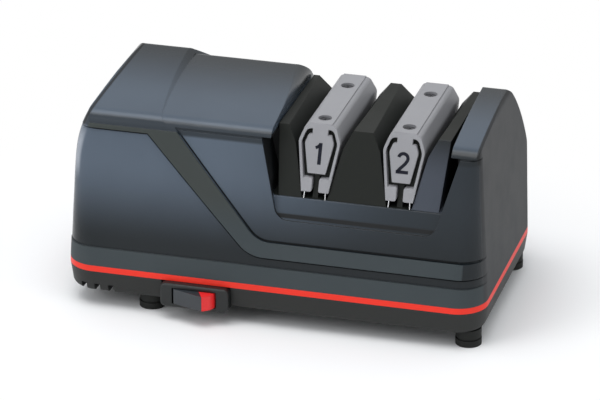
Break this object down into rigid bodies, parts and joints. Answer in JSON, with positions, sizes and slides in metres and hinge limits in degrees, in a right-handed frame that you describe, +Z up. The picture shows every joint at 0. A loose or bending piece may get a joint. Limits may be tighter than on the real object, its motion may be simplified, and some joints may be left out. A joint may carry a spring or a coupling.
{
  "type": "electric knife sharpener",
  "caption": "Countertop electric knife sharpener: motor housing, knife channel with sprung guides over cone discs, rocker switch and clean-out cover.",
  "frame": {"origin": "On the table, under the middle of the whole machine's box; the rubber feet stand at Z 0.", "axes": "+X runs from the motor end to the right end, +Y from the switch side to the back, +Z up."},
  "size_m": [0.21, 0.1332, 0.112],
  "materials": {
    "housing_gloss": "polished dark slate moulding",
    "base_black": "fine matt black moulding",
    "stripe_red": "bright red moulded band",
    "channel_black": "matt black moulding",
    "guide_grey": "satin mid grey moulding",
    "bezel_black": "satin black moulding",
    "rocker_black": "satin black moulding",
    "rocker_red": "glossy red moulding",
    "inner_plastic": "plain black moulding",
    "bobbin_nylon": "natural nylon moulding",
    "winding_copper": "enamelled copper wire",
    "bronze": "sintered bronze",
    "abrasive": "steel with a fine abrasive coat",
    "black_rubber": "black rubber",
    "laminated_iron": "stacked lamination edges",
    "magnet_iron": "dark ferrite",
    "zinc_bracket": "zinc plated sheet",
    "screw_steel": "zinc plated",
    "bright_steel": "ground steel"
  },
  "bodies": {
    "housing": {"bearing_left": "bronze", "bearing_right": "bronze", "blade_strip_1_left": "bright_steel", "blade_strip_1_right": "bright_steel", "blade_strip_2_left": "bright_steel", "blade_strip_2_right": "bright_steel", "coil_bobbin": "bobbin_nylon", "coil_winding": "winding_copper", "cord_bushing": "black_rubber", "core_leg": "laminated_iron", "dust_baffle": "inner_plastic", "guide_block": "channel_black", "guide_screw_1_back": "screw_steel", "guide_screw_1_front": "screw_steel", "guide_screw_2_back": "screw_steel", "guide_screw_2_front": "screw_steel", "housing_screw_1": "screw_steel", "housing_screw_2": "screw_steel", "housing_screw_3": "screw_steel", "housing_screw_4": "screw_steel", "knife_guide_1": "guide_grey", "knife_guide_2": "guide_grey", "lower_housing": "base_black", "motor_bracket_left": "zinc_bracket", "motor_bracket_right": "zinc_bracket", "motor_tie_bolt_lower": "screw_steel", "motor_tie_bolt_upper": "screw_steel", "outboard_bearing": "bronze", "outboard_bracket": "inner_plastic", "pinstripe_band": "stripe_red", "rocker_pin": "bright_steel", "rubber_foot_1": "black_rubber", "rubber_foot_2": "black_rubber", "rubber_foot_3": "black_rubber", "rubber_foot_4": "black_rubber", "stator_core": "laminated_iron", "switch_bezel": "bezel_black", "switch_body": "inner_plastic", "upper_housing": "housing_gloss"},
    "rotor": {"motor_shaft": "bright_steel", "rotor_core": "laminated_iron", "cooling_fan": "inner_plastic", "thrust_washer_left": "bright_steel", "thrust_washer_right": "bright_steel", "disc_spring_1": "bright_steel", "disc_spring_2": "bright_steel", "drive_pin_1_left": "bright_steel", "drive_pin_1_right": "bright_steel", "drive_pin_2_left": "bright_steel", "drive_pin_2_right": "bright_steel"},
    "disc_1_left": {"abrasive_disc_1_left": "abrasive"},
    "disc_1_right": {"abrasive_disc_1_right": "abrasive"},
    "disc_2_left": {"abrasive_disc_2_left": "abrasive"},
    "disc_2_right": {"abrasive_disc_2_right": "abrasive"},
    "rocker": {"switch_rocker": "rocker_black", "rocker_red_insert": "rocker_red"},
    "cover": {"clean_out_cover": "inner_plastic", "swarf_magnet": "magnet_iron"}
  },
  "joints": [
    {"name": "rotor_spin", "type": "hinge", "parent": "housing", "child": "rotor", "pos_m": [0, -0.009, 0.054], "axis": [1, 0, 0], "continuous": true},
    {"name": "disc_1_left_slide", "type": "slide", "parent": "rotor", "child": "disc_1_left", "axis": [1, 0, 0], "range_m": [0, 0.0006], "stiffness_N_per_m": 900, "springref_m": -0.002},
    {"name": "disc_1_right_slide", "type": "slide", "parent": "rotor", "child": "disc_1_right", "axis": [-1, 0, 0], "range_m": [0, 0.0006], "stiffness_N_per_m": 900, "springref_m": -0.002},
    {"name": "disc_2_left_slide", "type": "slide", "parent": "rotor", "child": "disc_2_left", "axis": [1, 0, 0], "range_m": [0, 0.0006], "stiffness_N_per_m": 900, "springref_m": -0.002},
    {"name": "disc_2_right_slide", "type": "slide", "parent": "rotor", "child": "disc_2_right", "axis": [-1, 0, 0], "range_m": [0, 0.0006], "stiffness_N_per_m": 900, "springref_m": -0.002},
    {"name": "power_switch", "type": "hinge", "parent": "housing", "child": "rocker", "pos_m": [-0.037, -0.0578, 0.0135], "axis": [0, 0, 1], "range_deg": [0, 26]},
    {"name": "clean_out_cover_slide", "type": "slide", "parent": "housing", "child": "cover", "axis": [0, 0, -1], "range_m": [0, 0.007]}
  ]
}
